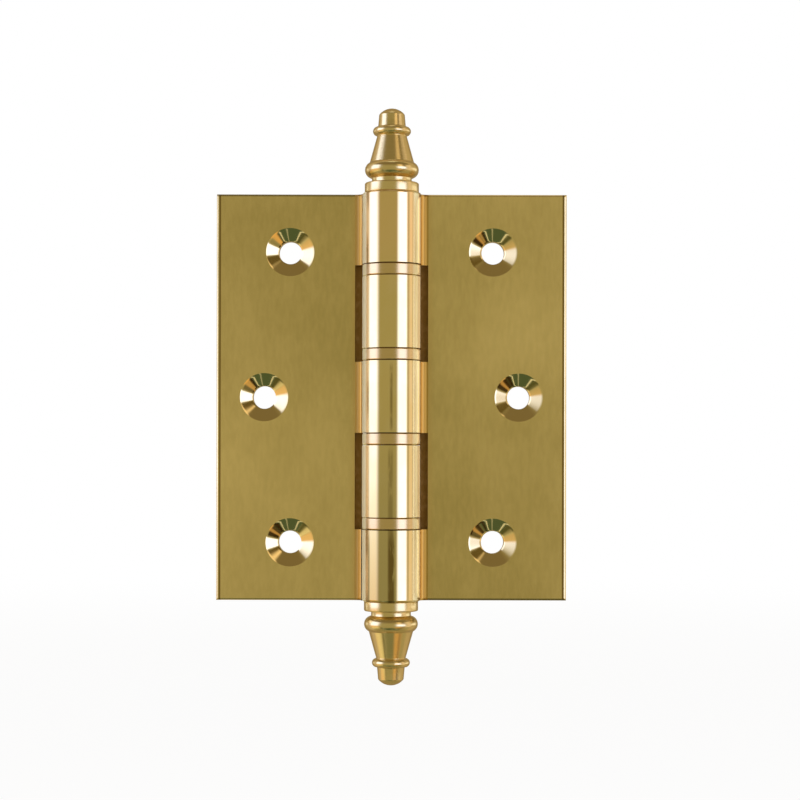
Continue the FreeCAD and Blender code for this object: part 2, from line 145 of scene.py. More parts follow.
# Where the camera stands, and how the photograph frames the hinge
PHOTO_SIZE = 800
SENSOR = 36.0
CAMERA_AWAY = 400 * MM
CAMERA_DROP = 12.3 * MM
CAMERA_ROLL = -0.12
FOCAL_PIXELS = 2041
CENTRE_PIXEL = (391.3, 459.8)
NEAREST_SEEN = 10 * MM

# A Mix node's sockets for colours: two that take one, and the one that gives the result
MIX_FIRST = 6
MIX_SECOND = 7
MIX_RESULT = 2


class Value:
    """A shader value: arithmetic on it adds Math nodes to its sheet."""

    def __init__(self, sheet, socket):
        self.sheet = sheet
        self.socket = socket

    def __add__(self, other):
        return self.sheet.math("ADD", self, other)

    def __sub__(self, other):
        return self.sheet.math("SUBTRACT", self, other)

    def __mul__(self, other):
        return self.sheet.math("MULTIPLY", self, other)

    def __rsub__(self, other):
        return self.sheet.math("SUBTRACT", other, self)

    __radd__ = __add__
    __rmul__ = __mul__


class Sheet:
    """The node sheet of one material or of the world."""

    def __init__(self, owner):
        owner.use_nodes = True
        self.tree = owner.node_tree
        self.tree.nodes.clear()

    def node(self, kind, settings, sockets, outlet=0):
        """Add a node: its settings are set first, then values or links go to its sockets."""
        made = self.tree.nodes.new(kind)
        for name, value in settings.items():
            setattr(made, name, value)
        for name, value in sockets.items():
            if isinstance(value, Value):
                self.tree.links.new(value.socket, made.inputs[name])
            else:
                made.inputs[name].default_value = value
        return Value(self, made.outputs[outlet]) if made.outputs else made

    def math(self, operation, first, second=0.0):
        """One Math node."""
        return self.node("ShaderNodeMath", {"operation": operation}, {0: first, 1: second})

    def size(self, value):
        """A value without its sign."""
        return self.math("ABSOLUTE", value)

    def ease(self, value, start, end):
        """0 at the start, 1 at the end and a smooth step between them; the start may be the greater one."""
        limits = {"From Min": start, "From Max": end, "Value": value}
        return self.node("ShaderNodeMapRange", {"interpolation_type": "SMOOTHSTEP"}, limits)

    def window(self, value, span, blur):
        """1 within the span and 0 outside it, with a smooth step over the blur on both sides of each end."""
        low, high = span
        return self.ease(value, low - blur, low + blur) * (1 - self.ease(value, high - blur, high + blur))

    def mix(self, factor, first, second):
        """One colour laid over another."""
        sockets = {"Factor": factor, MIX_FIRST: first, MIX_SECOND: second}
        return self.node("ShaderNodeMix", {"data_type": "RGBA"}, sockets, outlet=MIX_RESULT)

    def place(self, scale=(1, 1, 1)):
        """The piece's own coordinates, counted in millimetres and stretched by scale."""
        spot = self.node("ShaderNodeTexCoord", {}, {}, outlet="Object")
        stretch = tuple(factor / MM for factor in scale)
        return self.node("ShaderNodeMapping", {}, {"Vector": spot, "Scale": stretch})

    def axes(self, vector):
        """The three parts of a vector."""
        split = self.node("ShaderNodeSeparateXYZ", {}, {0: vector})
        return [Value(self, outlet) for outlet in split.socket.node.outputs]

    def noise(self, scale, detail, rough=0.5):
        """Smooth noise from 0 to 1, with this many waves to the millimetre along X, Y and Z."""
        sockets = {"Vector": self.place(scale), "Scale": 1.0, "Detail": detail, "Roughness": rough}
        return self.node("ShaderNodeTexNoise", {}, sockets)

    def bump(self, height, depth):
        """A surface normal from a height from 0 to 1 that stands for this many metres."""
        return self.node("ShaderNodeBump", {}, {"Height": height, "Distance": depth}, outlet="Normal")


def metal(name, build):
    """A metal whose colour, roughness and normal come from a build function."""
    material = bpy.data.materials.new(name)
    sheet = Sheet(material)
    colour, roughness, normal = build(sheet)
    sockets = {"Base Color": colour, "Roughness": roughness, "Metallic": 1.0}
    if normal:
        sockets["Normal"] = normal
    surface = sheet.node("ShaderNodeBsdfPrincipled", {}, sockets)
    sheet.node("ShaderNodeOutputMaterial", {}, {"Surface": surface})
    return material


# Colours of the metals, of the marks on them, and of painted highlights, shading and reflections
BRASS = (0.86, 0.69, 0.34, 1)
BRASS_DEEP = (0.80, 0.62, 0.285, 1)
BRASS_PALE = (0.88, 0.72, 0.40, 1)
BRASS_WARM = (0.96, 0.69, 0.36, 1)
# The leaf's colours, mixed by painted shading, a painted highlight, clouds and grain
LEAF_DEEP = (0.60, 0.478, 0.205, 1)
LEAF_LIGHT = (1.0, 0.80, 0.425, 1)
TARNISH = (0.65, 0.55, 0.30, 1)
TARNISH_DEEP = (0.62, 0.45, 0.17, 1)
STAIN = (0.26, 0.21, 0.06, 1)
# Painted highlight, shade and shading of the coves
COVE_PAINTED_HIGHLIGHT = (1.0, 0.70, 0.25, 1)
COVE_PAINTED_SHADE = (0.44, 0.24, 0.04, 1)
COVE_LEFT = (0.75, 0.49, 0.19, 1)
COVE_RIGHT = (0.46, 0.28, 0.05, 1)
EDGE_LINE = (0.20, 0.11, 0.015, 1)
# A painted dark reflection on the leaf's rounded ends
END_DARK_REFLECTION = (0.20, 0.17, 0.07, 1)
# A smudge that is also a painted dark reflection down the barrel's front
SMUDGE_AND_DARK_REFLECTION = (0.26, 0.18, 0.065, 1)
# Painted shade in the narrow gap beside the barrel
GAP_PAINTED_SHADE = (0.06, 0.02, 0.002, 1)
# A painted highlight strip and a painted shade strip on the sides of the barrel and washers
PAINTED_HIGHLIGHT_STRIP = (1.0, 0.95, 0.68, 1)
PAINTED_SHADE_STRIP = (0.48, 0.34, 0.17, 1)
WASHER_DEEP = (0.70, 0.50, 0.24, 1)
WASHER_PALE = (0.82, 0.63, 0.35, 1)
# Painted shade deep in the slots
SLOT_PAINTED_SHADE = (0.33, 0.19, 0.06, 1)
SLOT_PAINTED_SHADE_LIGHT = (0.48, 0.30, 0.12, 1)
STEEL = (0.55, 0.55, 0.53, 1)

# Depths of the fine marks that brushing, polishing and turning leave
BRUSH_DEPTH = 0.0015 * MM
STREAK_DEPTH = 0.001 * MM
WASHER_RING_DEPTH = 0.001 * MM
FINIAL_RING_DEPTH = 0.01 * MM

# Leaf finish, with painted shading and a painted highlight across each leaf: places in millimetres from the
# pin's centre, and the share of each mark.
# A pair is a span, or the start and the end of a change. The corners go by across times level.
LEFT_TO_RIGHT = (-1, 1)
SHADING_BY_LEVEL = 0.17
SHADING_BY_REACH = 0.42
SHADING_REACH = 20
SHADING_SPAN = (-21, 21)
SHADING_SHARE = 0.6
LIGHT_BAND_SPAN = (2, 22)
LIGHT_BAND_BLUR = 10
LIGHT_BAND_START = (4, 16)
LIGHT_BAND_SHARE = 0.2
CLOUD_SHARE = 0.24
GRAIN_SHARE = 0.16
LEAF_NOISE = (0.3, 0.7)
COVE_TINT_WIDTH = 1.4
COVE_TINT_SHARE = 0.3
EDGE_LINE_INSET = 0.02
EDGE_LINE_WIDTH = 0.32
EDGE_LINE_BLUR = 0.1
EDGE_LINE_FRONT = (4, 3)
EDGE_LINE_SHARE = 0.85
END_LINE_START = 0.5
END_LINE_FULL = 0.3
END_LINE_CORNERS = (150, -150)
END_LINE_SHARE = 0.7

# Painted highlight and shade strips on the barrel's sides
SLOT_LEVELS = (9, 24)
LEFT_PALE = (-2.9, 1.6)
RIGHT_PALE = (-3.8, -2.5)
RIGHT_PALE_BLUR = 0.35
LEFT_DARK = (-3.65, -2.95)
LEFT_DARK_BLUR = 0.25
RIGHT_DARK = (-2.0, 0.8)
RIGHT_DARK_SPREAD = 0.7
STRIP_BLUR = 0.4
DARK_STRIP_SHARE = 0.85
LEFT_PALE_ROUGHNESS = 0.62
RIGHT_PALE_ROUGHNESS = 0.22
DARK_ROUGHNESS = 0.1

# Marks on the knuckles, among them a smudge that is also a painted dark reflection
BARREL_FRONT = (-4, -5.5)
BARREL_FOOT = (-24, -30)
BARREL_HEAD = (18, 32)
BARREL_NOISE = (0.35, 0.75)
WARM_SHARE = 0.7
MIDDLE_SMUDGE_LEVELS = (-6.4, 6.2)
MIDDLE_SMUDGE_END = 0.8
MIDDLE_SMUDGE = (-0.25, 0.2)
MIDDLE_SMUDGE_SHARE = 0.7
LOWER_SMUDGE_START = (-9, -12)
LOWER_SMUDGE = (-0.6, 0.3)
LOWER_SMUDGE_SPREAD = 0.3
LOWER_SMUDGE_SHARE = 0.5
FOOT_SMUDGE_SHARE = 0.5
SMUDGE_BLUR = 0.25
SMUDGE_NOISE = (0.2, 0.5)
TARNISH_LEVELS = (6, -40)
TARNISH_SIDE = (1.6, 0.4)
TARNISH_DEEPENS = (-2, -3.2)
STAIN_SPAN = (-4.75, -4.15)
STAIN_BLUR = 0.15
STAIN_SHARE = 0.8

# Cove and slot finish, painted with highlight and shade; out is counted from the barrel's side
RIGHT_COVE_SHIFT = 0.25
COVE_TURNS_BROWN = (0.15, 0.5)
COVE_TURNS_LEAFWARD = (0.65, 1.0)
COVE_GAP_FLOOR = (1.5, 1.6)
COVE_GAP_OUT = (0.22, 0.18)
COVE_GAP_LEVELS = (-20, -26)
SLOT_NOISE = (0.4, 0.8)


def brushed_plate(sheet):
    """Leaf faces: polished, with faint clouds, brushing up and down, thin dark lines along the outer edges,
    and a painted dark reflection on the rounded ends.

    Painted shading grows with reach, and with level on the right leaf, against level on the left one.
    A broad painted highlight lies across each leaf, above the middle at right and below it at left. Next to
    the cove, the leaf takes on some of the cove's painted shading.
    """
    cloud = sheet.noise((0.09, 0.09, 0.06), detail=4.0, rough=0.6)
    grain = sheet.noise((1.2, 1.2, 0.35), detail=4.0, rough=0.65)
    brush = sheet.noise((6.0, 6.0, 0.16), detail=3.0, rough=0.6)
    across, through, level = sheet.axes(sheet.place())
    reach = sheet.size(across)
    rising = sheet.math("SIGN", across) * level
    # Painted shading: lighter outwards, and up on the right leaf and down on the left one
    painted_shading = sheet.ease(SHADING_BY_LEVEL * rising + SHADING_BY_REACH * (reach - SHADING_REACH), *SHADING_SPAN)
    # A broad painted highlight across each leaf
    light_band = sheet.window(rising, LIGHT_BAND_SPAN, LIGHT_BAND_BLUR) * sheet.ease(reach, *LIGHT_BAND_START)
    shade = SHADING_SHARE * painted_shading + LIGHT_BAND_SHARE * light_band
    shade = shade + CLOUD_SHARE * sheet.ease(cloud, *LEAF_NOISE)
    shade = shade + GRAIN_SHARE * sheet.ease(grain, *LEAF_NOISE)
    colour = sheet.mix(shade, LEAF_DEEP, LEAF_LIGHT)
    # The cove's painted shading reaches a little onto the leaf
    inner = sheet.ease(reach, COVE_REACH / MM + COVE_TINT_WIDTH, COVE_REACH / MM)
    colour = sheet.mix(COVE_TINT_SHARE * inner, colour, COVE_LEFT)
    line_end = (LEAF_REACH - EDGE_ROUND) / MM - EDGE_LINE_INSET
    edge = sheet.window(reach, (line_end - EDGE_LINE_WIDTH, line_end), EDGE_LINE_BLUR)
    edge = EDGE_LINE_SHARE * edge * sheet.ease(through, *EDGE_LINE_FRONT)
    colour = sheet.mix(edge, colour, EDGE_LINE)
    # A painted dark reflection on the rounded ends, at the lower right and upper left
    tip = HALF_HEIGHT / MM
    end = sheet.ease(sheet.size(level), tip - END_LINE_START, tip - END_LINE_FULL)
    end = END_LINE_SHARE * end * sheet.ease(across * level, *END_LINE_CORNERS)
    colour = sheet.mix(end, colour, END_DARK_REFLECTION)
    roughness = 0.12 + 0.08 * brush + 0.06 * cloud
    return colour, roughness, sheet.bump(brush, BRUSH_DEPTH)


def flank_painted_strips(sheet, colour, roughness):
    """The barrel's sides: a satin strip painted pale as a highlight, and a dark strip of painted shade.

    At left the dark strip lies in front of the pale one, and at right behind it.
    """
    across, through, level = sheet.axes(sheet.place())
    side = sheet.ease(across, *LEFT_TO_RIGHT)
    by_slot = sheet.window(sheet.size(level), SLOT_LEVELS, STRIP_BLUR)
    left_pale = sheet.window(through, LEFT_PALE, STRIP_BLUR)
    right_pale = sheet.window(through, RIGHT_PALE, RIGHT_PALE_BLUR)
    left_dark = sheet.window(through, LEFT_DARK, LEFT_DARK_BLUR)
    dark_start, dark_end = RIGHT_DARK
    right_dark = sheet.window(through, (dark_start - RIGHT_DARK_SPREAD * by_slot, dark_end), STRIP_BLUR)
    pale = left_pale + side * (right_pale - left_pale)
    dark = left_dark + side * (right_dark - left_dark)
    # The pale strip is a painted highlight and the dark strip painted shade
    colour = sheet.mix(DARK_STRIP_SHARE * dark, sheet.mix(pale, colour, PAINTED_HIGHLIGHT_STRIP), PAINTED_SHADE_STRIP)
    satin = LEFT_PALE_ROUGHNESS - (LEFT_PALE_ROUGHNESS - RIGHT_PALE_ROUGHNESS) * side
    return colour, roughness + satin * pale + DARK_ROUGHNESS * dark


def polished_barrel(sheet):
    """Knuckles: bright polish with faint streaks, warmer at the top and duller at the lower left.

    A brown smudge that is also a painted dark reflection runs down the front, broken up by noise: thin on the
    middle knuckle, wider on the lower ones. A dark stain lies at the foot of the left side.
    """
    streak = sheet.noise((2.2, 2.2, 0.03), detail=3.0)
    cloud = sheet.noise((0.3, 0.3, 0.2), detail=3.0)
    broken = sheet.noise((1.5, 1.5, 0.25), detail=4.0, rough=0.6)
    across, through, level = sheet.axes(sheet.place())
    front = sheet.ease(through, *BARREL_FRONT)
    foot = sheet.ease(level, *BARREL_FOOT)
    middle = MIDDLE_SMUDGE_SHARE * sheet.window(level, MIDDLE_SMUDGE_LEVELS, MIDDLE_SMUDGE_END)
    middle = middle * sheet.window(across, MIDDLE_SMUDGE, SMUDGE_BLUR)
    strength = LOWER_SMUDGE_SHARE * sheet.ease(level, *LOWER_SMUDGE_START) + FOOT_SMUDGE_SHARE * foot
    left, right = LOWER_SMUDGE
    lower = sheet.window(across, (left, right + LOWER_SMUDGE_SPREAD * foot), SMUDGE_BLUR) * strength
    # A smudge that is also a painted dark reflection down the front
    smudge = front * (middle + lower) * sheet.ease(broken, *SMUDGE_NOISE)
    colour = sheet.mix(sheet.ease(cloud, *BARREL_NOISE), BRASS, BRASS_PALE)
    colour = sheet.mix(WARM_SHARE * sheet.ease(level, *BARREL_HEAD), colour, BRASS_WARM)
    tarnish = sheet.mix(sheet.ease(across, *TARNISH_DEEPENS), TARNISH, TARNISH_DEEP)
    tarnished = sheet.ease(level, *TARNISH_LEVELS) * sheet.ease(across, *TARNISH_SIDE)
    colour = sheet.mix(tarnished, colour, tarnish)
    stain = STAIN_SHARE * foot * sheet.window(across, STAIN_SPAN, STAIN_BLUR)
    colour = sheet.mix(stain, colour, STAIN)
    colour = sheet.mix(smudge, colour, SMUDGE_AND_DARK_REFLECTION)
    colour, roughness = flank_painted_strips(sheet, colour, 0.06 + 0.07 * streak)
    return colour, roughness, sheet.bump(streak, STREAK_DEPTH)


def dull_cove(sheet):
    """Coves beside the barrel: a painted highlight next to the barrel, then a painted brown line of shade,
    then painted shading into each leaf, lighter at left than at right.

    At the lower left, the narrow gap beside the barrel is painted nearly black as shade.
    """
    streak = sheet.noise((4.0, 4.0, 0.05), detail=3.0)
    across, through, level = sheet.axes(sheet.place())
    side = sheet.ease(across, *LEFT_TO_RIGHT)
    out = sheet.size(across) - BARREL_RADIUS / MM - RIGHT_COVE_SHIFT * side
    brown = sheet.ease(out, *COVE_TURNS_BROWN)
    leafward = sheet.ease(out, *COVE_TURNS_LEAFWARD)
    edge = sheet.mix(side, COVE_LEFT, COVE_RIGHT)
    # Painted highlight by the barrel, a painted shade line, then painted shading into the leaf
    colour = sheet.mix(brown, COVE_PAINTED_HIGHLIGHT, sheet.mix(leafward, COVE_PAINTED_SHADE, edge))
    # Painted shade in the narrow gap at the lower left
    gap = (1 - side) * sheet.ease(through, *COVE_GAP_FLOOR) * sheet.ease(out, *COVE_GAP_OUT)
    colour = sheet.mix(gap * sheet.ease(level, *COVE_GAP_LEVELS), colour, GAP_PAINTED_SHADE)
    roughness = 0.32 + 0.12 * streak
    return colour, roughness, None


def slot_wall(sheet):
    """Cut walls of the slots: never polished, and painted dull brown as the shade deep in the slots."""
    cloud = sheet.noise((1.2, 1.2, 0.8), detail=4.0)
    # A dull brown painted as the shade deep in the slots
    colour = sheet.mix(sheet.ease(cloud, *SLOT_NOISE), SLOT_PAINTED_SHADE, SLOT_PAINTED_SHADE_LIGHT)
    roughness = 0.45 + 0.2 * cloud
    return colour, roughness, None


def countersink(sheet):
    """Screw seats: bright cut cones."""
    cloud = sheet.noise((0.8, 0.8, 0.8), detail=3.0)
    colour = sheet.mix(cloud, BRASS, BRASS_PALE)
    roughness = 0.05 + 0.05 * cloud
    return colour, roughness, None


def satin_washer(sheet):
    """Washers: satin brass with fine rings around the pin, and the barrel's painted highlight and shade
    strips on their sides.
    """
    rings = sheet.noise((0.03, 0.03, 7.0), detail=3.0, rough=0.7)
    colour = sheet.mix(rings, WASHER_DEEP, WASHER_PALE)
    # The sides take the barrel's painted highlight and shade strips
    colour, roughness = flank_painted_strips(sheet, colour, 0.16 + 0.1 * rings)
    return colour, roughness, sheet.bump(rings, WASHER_RING_DEPTH)


def turned_finial(sheet):
    """Finials: turned brass, with the tool's fine rings around the pin."""
    rings = sheet.noise((0.03, 0.03, 4.5), detail=3.0, rough=0.75)
    cloud = sheet.noise((0.5, 0.5, 0.3), detail=3.0)
    colour = sheet.mix(0.6 * rings + 0.4 * cloud, BRASS_DEEP, BRASS_PALE)
    roughness = 0.17 + 0.1 * rings
    return colour, roughness, sheet.bump(rings, FINIAL_RING_DEPTH)


def ground_steel(sheet):
    """The pin: ground steel with fine rings."""
    rings = sheet.noise((0.05, 0.05, 4.0), detail=2.0)
    roughness = 0.25 + 0.15 * rings
    return STEEL, roughness, None


PLATE = metal("brushed_leaf_brass", brushed_plate)
POLISH = metal("polished_barrel_brass", polished_barrel)
COVE = metal("dull_cove_brass", dull_cove)
SLOT = metal("cut_slot_shaded_brass", slot_wall)
SEAT = metal("cut_countersink_brass", countersink)
WASHER = metal("satin_washer_brass", satin_washer)
FINIAL = metal("turned_finial_brass", turned_finial)
PIN = metal("ground_pin_steel", ground_steel)


def arc(centre, radius, start, end, steps):
    """Points of a circle: centre plus radius times the cosine and sine of an evenly spaced angle."""
    turn = np.radians(np.linspace(start, end, steps))
    return np.column_stack((centre[0] + radius * np.cos(turn), centre[1] + radius * np.sin(turn)))


def quads(rows, columns, close_rows=False):
    """Faces of a grid whose rows are closed rings; the last row may join the first."""
    row = np.arange(rows if close_rows else rows - 1)[:, None]
    column = np.arange(columns)[None, :]
    above = (row + 1) % rows
    beside = (column + 1) % columns
    corners = (
        row * columns + column,
        row * columns + beside,
        above * columns + beside,
        above * columns + column,
    )
    return np.stack(np.broadcast_arrays(*corners), axis=-1).reshape(-1, 4)


def solid(name, rings, finishes, finish_of_column=None, closed=False):
    """A watertight mesh from rings of points, shape (rings, points, 3).

    It is capped at both ends, or its last ring joins the first where it is closed.
    """
    rows, columns, _ = rings.shape
    faces = quads(rows, columns, closed).tolist()
    finish = np.zeros(len(faces), dtype=np.int32)
    if finish_of_column is not None:
        finish = np.tile(finish_of_column, rows - 1).astype(np.int32)
    if not closed:
        rim = np.arange(columns)
        faces += [rim[::-1].tolist(), (rim + (rows - 1) * columns).tolist()]
        finish = np.append(finish, [0, 0]).astype(np.int32)
    mesh = bpy.data.meshes.new(name)
    mesh.from_pydata(rings.reshape(-1, 3).tolist(), [], faces)
    for material in finishes:
        mesh.materials.append(material)
    mesh.polygons.foreach_set("material_index", finish)
    mesh.shade_smooth()
    mesh.update()
    piece = bpy.data.objects.new(name, mesh)
    bpy.context.scene.collection.objects.link(piece)
    return piece


def prism(name, section, low, high, finish):
    """A section carried straight along Z from low to high."""
    outline = np.broadcast_to(section, (2, *section.shape))
    level = np.broadcast_to(np.array([low, high])[:, None, None], (2, len(section), 1))
    return solid(name, np.concatenate((outline, level), axis=2), [finish])


def turned(name, profile, finish, closed=False):
    """A profile of (radius, height) turned about Z: (radius cos t, radius sin t, height)."""
    turn = np.linspace(0, 2 * np.pi, TURN_STEPS, endpoint=False)
    radius, height = profile[:, :1], profile[:, 1:]
    rings = np.stack(
        np.broadcast_arrays(radius * np.cos(turn), radius * np.sin(turn), height), axis=-1
    )
    return solid(name, rings, [finish], closed=closed)


def points_of(piece):
    """A piece's points as an array of shape (points, 3)."""
    points = np.empty(len(piece.data.vertices) * 3)
    piece.data.vertices.foreach_get("co", points)
    return points.reshape(-1, 3)


def put_points(piece, points):
    """Give a piece's points new places."""
    piece.data.vertices.foreach_set("co", points.ravel())
    piece.data.update()


def freeze(piece):
    """Keep what the piece's modifiers give as its own mesh."""
    depsgraph = bpy.context.evaluated_depsgraph_get()
    made = bpy.data.meshes.new_from_object(piece.evaluated_get(depsgraph))
    spent = piece.data
    piece.modifiers.clear()
    piece.data = made
    bpy.data.meshes.remove(spent)


def carve(piece, tool, operation="DIFFERENCE"):
    """Cut another solid out of a piece, or join it on; the new faces keep the tool's finish."""
    step = piece.modifiers.new("carve", "BOOLEAN")
    step.operation = operation
    step.solver = "EXACT"
    step.material_mode = "TRANSFER"
    step.object = tool
    freeze(piece)
    bpy.data.objects.remove(tool)


def finish_edges(piece):
    """Round each sharp edge a little, and let the flat faces set the normals beside it.

    On a leaf, the rounded edges are polished.
    """
    bevel = piece.modifiers.new("soft_edges", "BEVEL")
    bevel.width = SOFT_EDGE
    bevel.material = piece.data.materials.find(POLISH.name)
    bevel.segments = SOFT_EDGE_STEPS
    bevel.limit_method = "ANGLE"
    bevel.angle_limit = math.radians(SHARP_ANGLE)
    bevel.harden_normals = False
    shade = piece.modifiers.new("flat_faces_first", "WEIGHTED_NORMAL")
    shade.mode = "FACE_AREA"
    shade.weight = FLAT_FACE_WEIGHT
    shade.keep_sharp = False


def plate_edge():
    """The outside of a leaf's section: face, eased outer edges and back, with X growing outwards."""
    inner = np.array([[COVE_REACH, LEAF_FACE]])
    corner = LEAF_REACH - EDGE_ROUND
    front = arc((corner, LEAF_FACE + EDGE_ROUND), EDGE_ROUND, -90, 0, FILLET_STEPS)
    back = arc((corner, LEAF_BACK - EDGE_ROUND), EDGE_ROUND, 0, 90, FILLET_STEPS)
    return np.concatenate((inner, front, back))


def eased_sweep(name, section, inward, finish):
    """A section carried along the leaf's height, with its face and back rounded off at both ends.

    Near an end, the rounding depth is the edge radius times (1 - cos u) while the level rises by the
    radius times sin u. The plate's points are held between face and back by that depth, and the round
    points move along their inward direction by it.
    """
    turn = np.radians(np.linspace(0, 90, FILLET_STEPS))
    level = HALF_HEIGHT - EDGE_ROUND + EDGE_ROUND * np.sin(turn)
    depth = EDGE_ROUND * (1 - np.cos(turn))
    level = np.concatenate((-level[::-1], level))[:, None]
    depth = np.concatenate((depth[::-1], depth))[:, None]
    on_plate = finish == 0
    floor = np.where(on_plate, LEAF_FACE, -np.inf)
    across = section[:, 0] + inward[:, 0] * depth
    through = np.clip(section[:, 1] + inward[:, 1] * depth, floor + depth, LEAF_BACK - depth)
    rings = np.stack(np.broadcast_arrays(across, through, level), axis=-1)
    return solid(name, rings, [PLATE, POLISH, COVE], finish)


def screw_tool(reach, rise):
    """A cutter for one countersunk hole: a cone from beyond the face, then a straight shank.

    It is turned about Z and then laid along Y: (reach + x, z, rise - y).
    """
    spare = 1.0 * MM
    guard = 0.2 * MM
    depth = (COUNTERSINK_RADIUS - SCREW_RADIUS) / COUNTERSINK_SLOPE
    levels = np.array([-spare, guard, depth - guard, depth, depth + guard, LEAF_BACK - LEAF_FACE + spare])
    radii = np.maximum(COUNTERSINK_RADIUS - levels * COUNTERSINK_SLOPE, SCREW_RADIUS)
    tool = turned("screw_tool", np.column_stack((radii, LEAF_FACE + levels)), SEAT)
    across, over, along = points_of(tool).T
    put_points(tool, np.column_stack((reach + across, along, rise - over)))
    return tool


def drill(piece, bore):
    """Ream a leaf for the pin and sink its three screw holes."""
    rim = arc((0, 0), bore, 0, 360, TURN_STEPS + 1)[:-1]
    carve(piece, prism("bore_tool", rim, -2 * HALF_HEIGHT, 2 * HALF_HEIGHT, SLOT))
    reach, rise = END_SCREW
    for place in ((reach, rise), MIDDLE_SCREW, (reach, -rise)):
        carve(piece, screw_tool(*place))


def cut_slots(piece):
    """Cut the room for the other leaf's knuckles: a slot in front and a heel behind."""
    far = 2 * BARREL_RADIUS
    section = np.array(
        [
            [-far, -far],
            [COVE_REACH, -far],
            [COVE_REACH, SLOT_FLOOR],
            [HEEL_REACH, SLOT_FLOOR],
            [HEEL_REACH, far],
            [-far, far],
        ]
    )
    low = KNUCKLE / 2
    high = low + KNUCKLE + 2 * WASHER_SEAT
    carve(piece, prism("slot_tool", section, low, high, SLOT))
    carve(piece, prism("slot_tool", section, -high, -low, SLOT))


def three_knuckle_leaf():
    """Right leaf: plate, cove and barrel in one section, slotted for the other leaf's knuckles."""
    edge = plate_edge()
    barrel = arc((0, 0), BARREL_RADIUS, 90, 360 + COVE_LEAN, BARREL_STEPS)
    cove = arc((COVE_REACH, COVE_RISE), COVE_RADIUS, 180 + COVE_LEAN, 90, COVE_STEPS)[1:-1]
    inward = np.concatenate(
        (
            np.zeros_like(edge),
            -barrel / BARREL_RADIUS,
            (cove - (COVE_REACH, COVE_RISE)) / COVE_RADIUS,
        )
    )
    section = np.concatenate((edge, barrel, cove))
    finish = np.repeat((0, 1, 2), (len(edge), len(barrel) - 1, len(cove) + 1))
    leaf = eased_sweep("leaf_with_three_knuckles", section, inward, finish)
    cut_slots(leaf)
    drill(leaf, DRIVEN_BORE)
    return leaf


def knuckle_section():
    """A knuckle of the left leaf with the web along its back, drawn on the right."""
    floor_turn = math.degrees(math.asin(SLOT_FLOOR / BARREL_RADIUS))
    barrel = arc((0, 0), BARREL_RADIUS, 90, 360 + floor_turn, BARREL_STEPS)
    web_end = COVE_REACH + COVE_RADIUS
    web = np.array([[web_end, SLOT_FLOOR], [web_end, LEAF_BACK]])
    return np.concatenate((barrel, web))


def two_knuckle_leaf():
    """Left leaf, drawn on the right and turned half round: plate with a lip, and two webbed knuckles.

    The lip's arc runs round the barrel at the swing gap, up to the tip where it meets the cove's arc. The
    law of cosines, in the triangle of both centres and the tip, gives the angle of the tip on each arc.
    """
    edge = plate_edge()
    apart = BARREL_RADIUS + COVE_RADIUS
    tip_cosine = (apart**2 + LIP_RADIUS**2 - COVE_RADIUS**2) / (2 * apart * LIP_RADIUS)
    tip_turn = COVE_LEAN + math.degrees(math.acos(tip_cosine))
    end_cosine = (apart**2 + COVE_RADIUS**2 - LIP_RADIUS**2) / (2 * apart * COVE_RADIUS)
    cove_end = 180 + COVE_LEAN - math.degrees(math.acos(end_cosine))
    heel_turn = math.degrees(math.acos(HEEL_REACH / LIP_RADIUS))
    heel = np.array([[HEEL_REACH, LEAF_BACK]])
    lip = arc((0, 0), LIP_RADIUS, heel_turn, tip_turn, COVE_STEPS)
    cove = arc((COVE_REACH, COVE_RISE), COVE_RADIUS, cove_end, 90, COVE_STEPS)[1:-1]
    inward = np.concatenate(
        (
            np.zeros_like(edge),
            np.zeros_like(heel),
            np.zeros_like(lip),
            (cove - (COVE_REACH, COVE_RISE)) / COVE_RADIUS,
        )
    )
    section = np.concatenate((edge, heel, lip, cove))
    finish = np.repeat((0, 2), (len(edge), len(heel) + len(lip) + len(cove)))
    leaf = eased_sweep("leaf_with_two_knuckles", section, inward, finish)
    cut_slots(leaf)
    low = KNUCKLE / 2 + WASHER_SEAT
    for start in (low, -low - KNUCKLE):
        carve(leaf, prism("knuckle", knuckle_section(), start, start + KNUCKLE, POLISH), "UNION")
    drill(leaf, RUNNING_BORE)
    put_points(leaf, points_of(leaf) * HALF_TURN_ABOUT_Y)
    return leaf


def washer(number):
    """A flat ring with chamfered rims, turned about the pin; the first one is the topmost."""
    level = ((WASHERS + 1) / 2 - number) * PITCH
    profile = np.array(
        [
            [WASHER_BORE, -WASHER_HALF],
            [WASHER_RADIUS - WASHER_CHAMFER, -WASHER_HALF],
            [WASHER_RADIUS, WASHER_CHAMFER - WASHER_HALF],
            [WASHER_RADIUS, WASHER_HALF - WASHER_CHAMFER],
            [WASHER_RADIUS - WASHER_CHAMFER, WASHER_HALF],
            [WASHER_BORE, WASHER_HALF],
        ]
    )
    return turned(f"thrust_washer_{number}", profile + (0, level), WASHER, closed=True)


